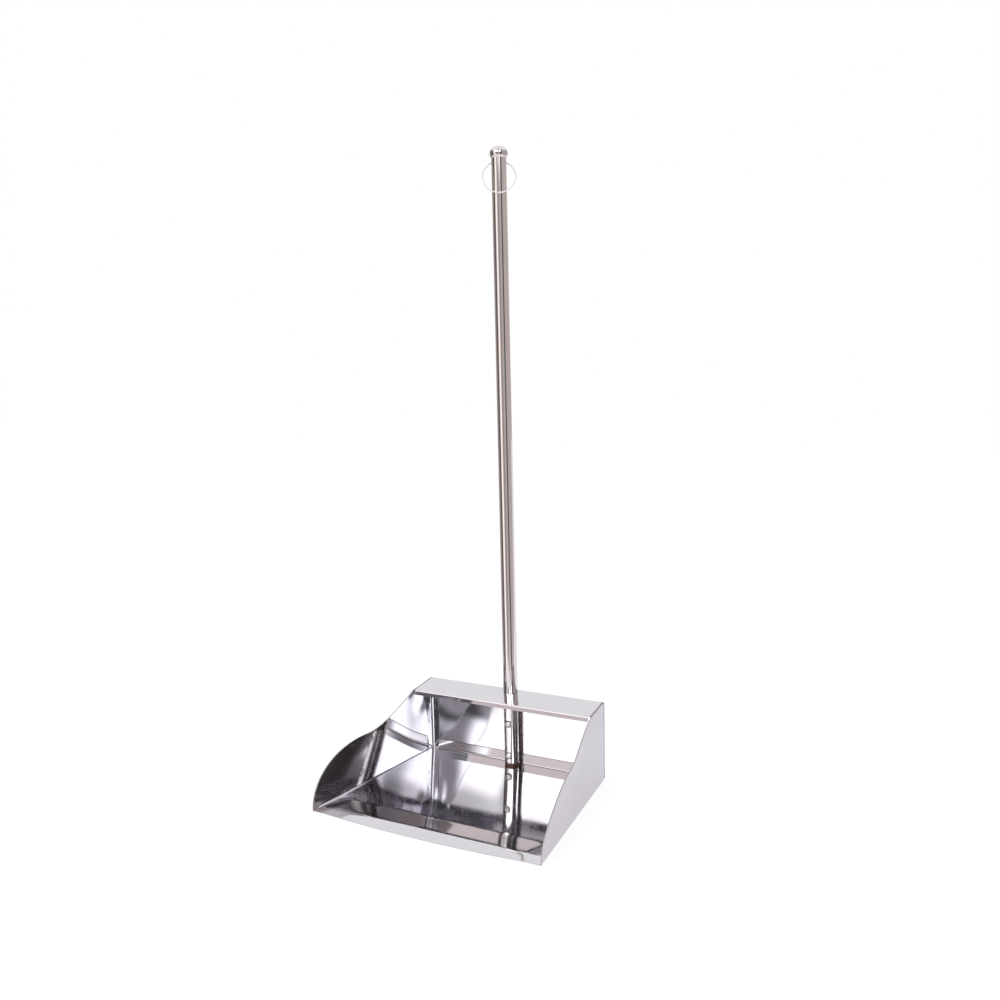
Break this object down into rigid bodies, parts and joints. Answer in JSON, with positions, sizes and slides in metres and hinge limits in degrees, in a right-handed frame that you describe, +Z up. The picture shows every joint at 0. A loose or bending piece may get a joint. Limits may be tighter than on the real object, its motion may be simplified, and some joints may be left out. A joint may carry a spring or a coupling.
{
  "type": "lobby dustpan",
  "caption": "Upright lobby dustpan: folded sheet-steel pan with flared sides and a top strip, on a tall tube handle with a ball finial and a swinging hang ring.",
  "frame": {"origin": "middle of the flat underside of the pan's floor, halfway along the pan's depth", "axes": "+X across the pan, to the right as seen from its open front; +Y to the rear, towards the back panel; +Z up"},
  "size_m": [0.2898, 0.2595, 0.7825],
  "materials": {
    "pan_sheet": "mirror-polished stainless sheet",
    "tube_steel": "mirror-polished stainless tube",
    "foot_plastic": "brown moulded plastic",
    "finial_steel": "polished steel",
    "ring_plastic": "pale moulded plastic",
    "fastener_steel": "bright plated steel"
  },
  "bodies": {
    "dustpan": {"floor_plate": "pan_sheet", "back_panel": "pan_sheet", "left_side_panel": "pan_sheet", "right_side_panel": "pan_sheet", "handle_tube": "tube_steel", "foot_plug": "foot_plastic", "ball_finial": "finial_steel", "upper_screw": "fastener_steel", "lower_screw": "fastener_steel", "upper_washer": "fastener_steel", "lower_washer": "fastener_steel", "upper_nut": "fastener_steel", "lower_nut": "fastener_steel"},
    "ring": {"hang_ring": "ring_plastic"}
  },
  "joints": [
    {"name": "ring_swing", "type": "hinge", "parent": "dustpan", "child": "ring", "pos_m": [0, 0.05758, 0.76319], "axis": [-0.8988, -0.4372, -0.0321], "range_deg": [0, 327]}
  ]
}
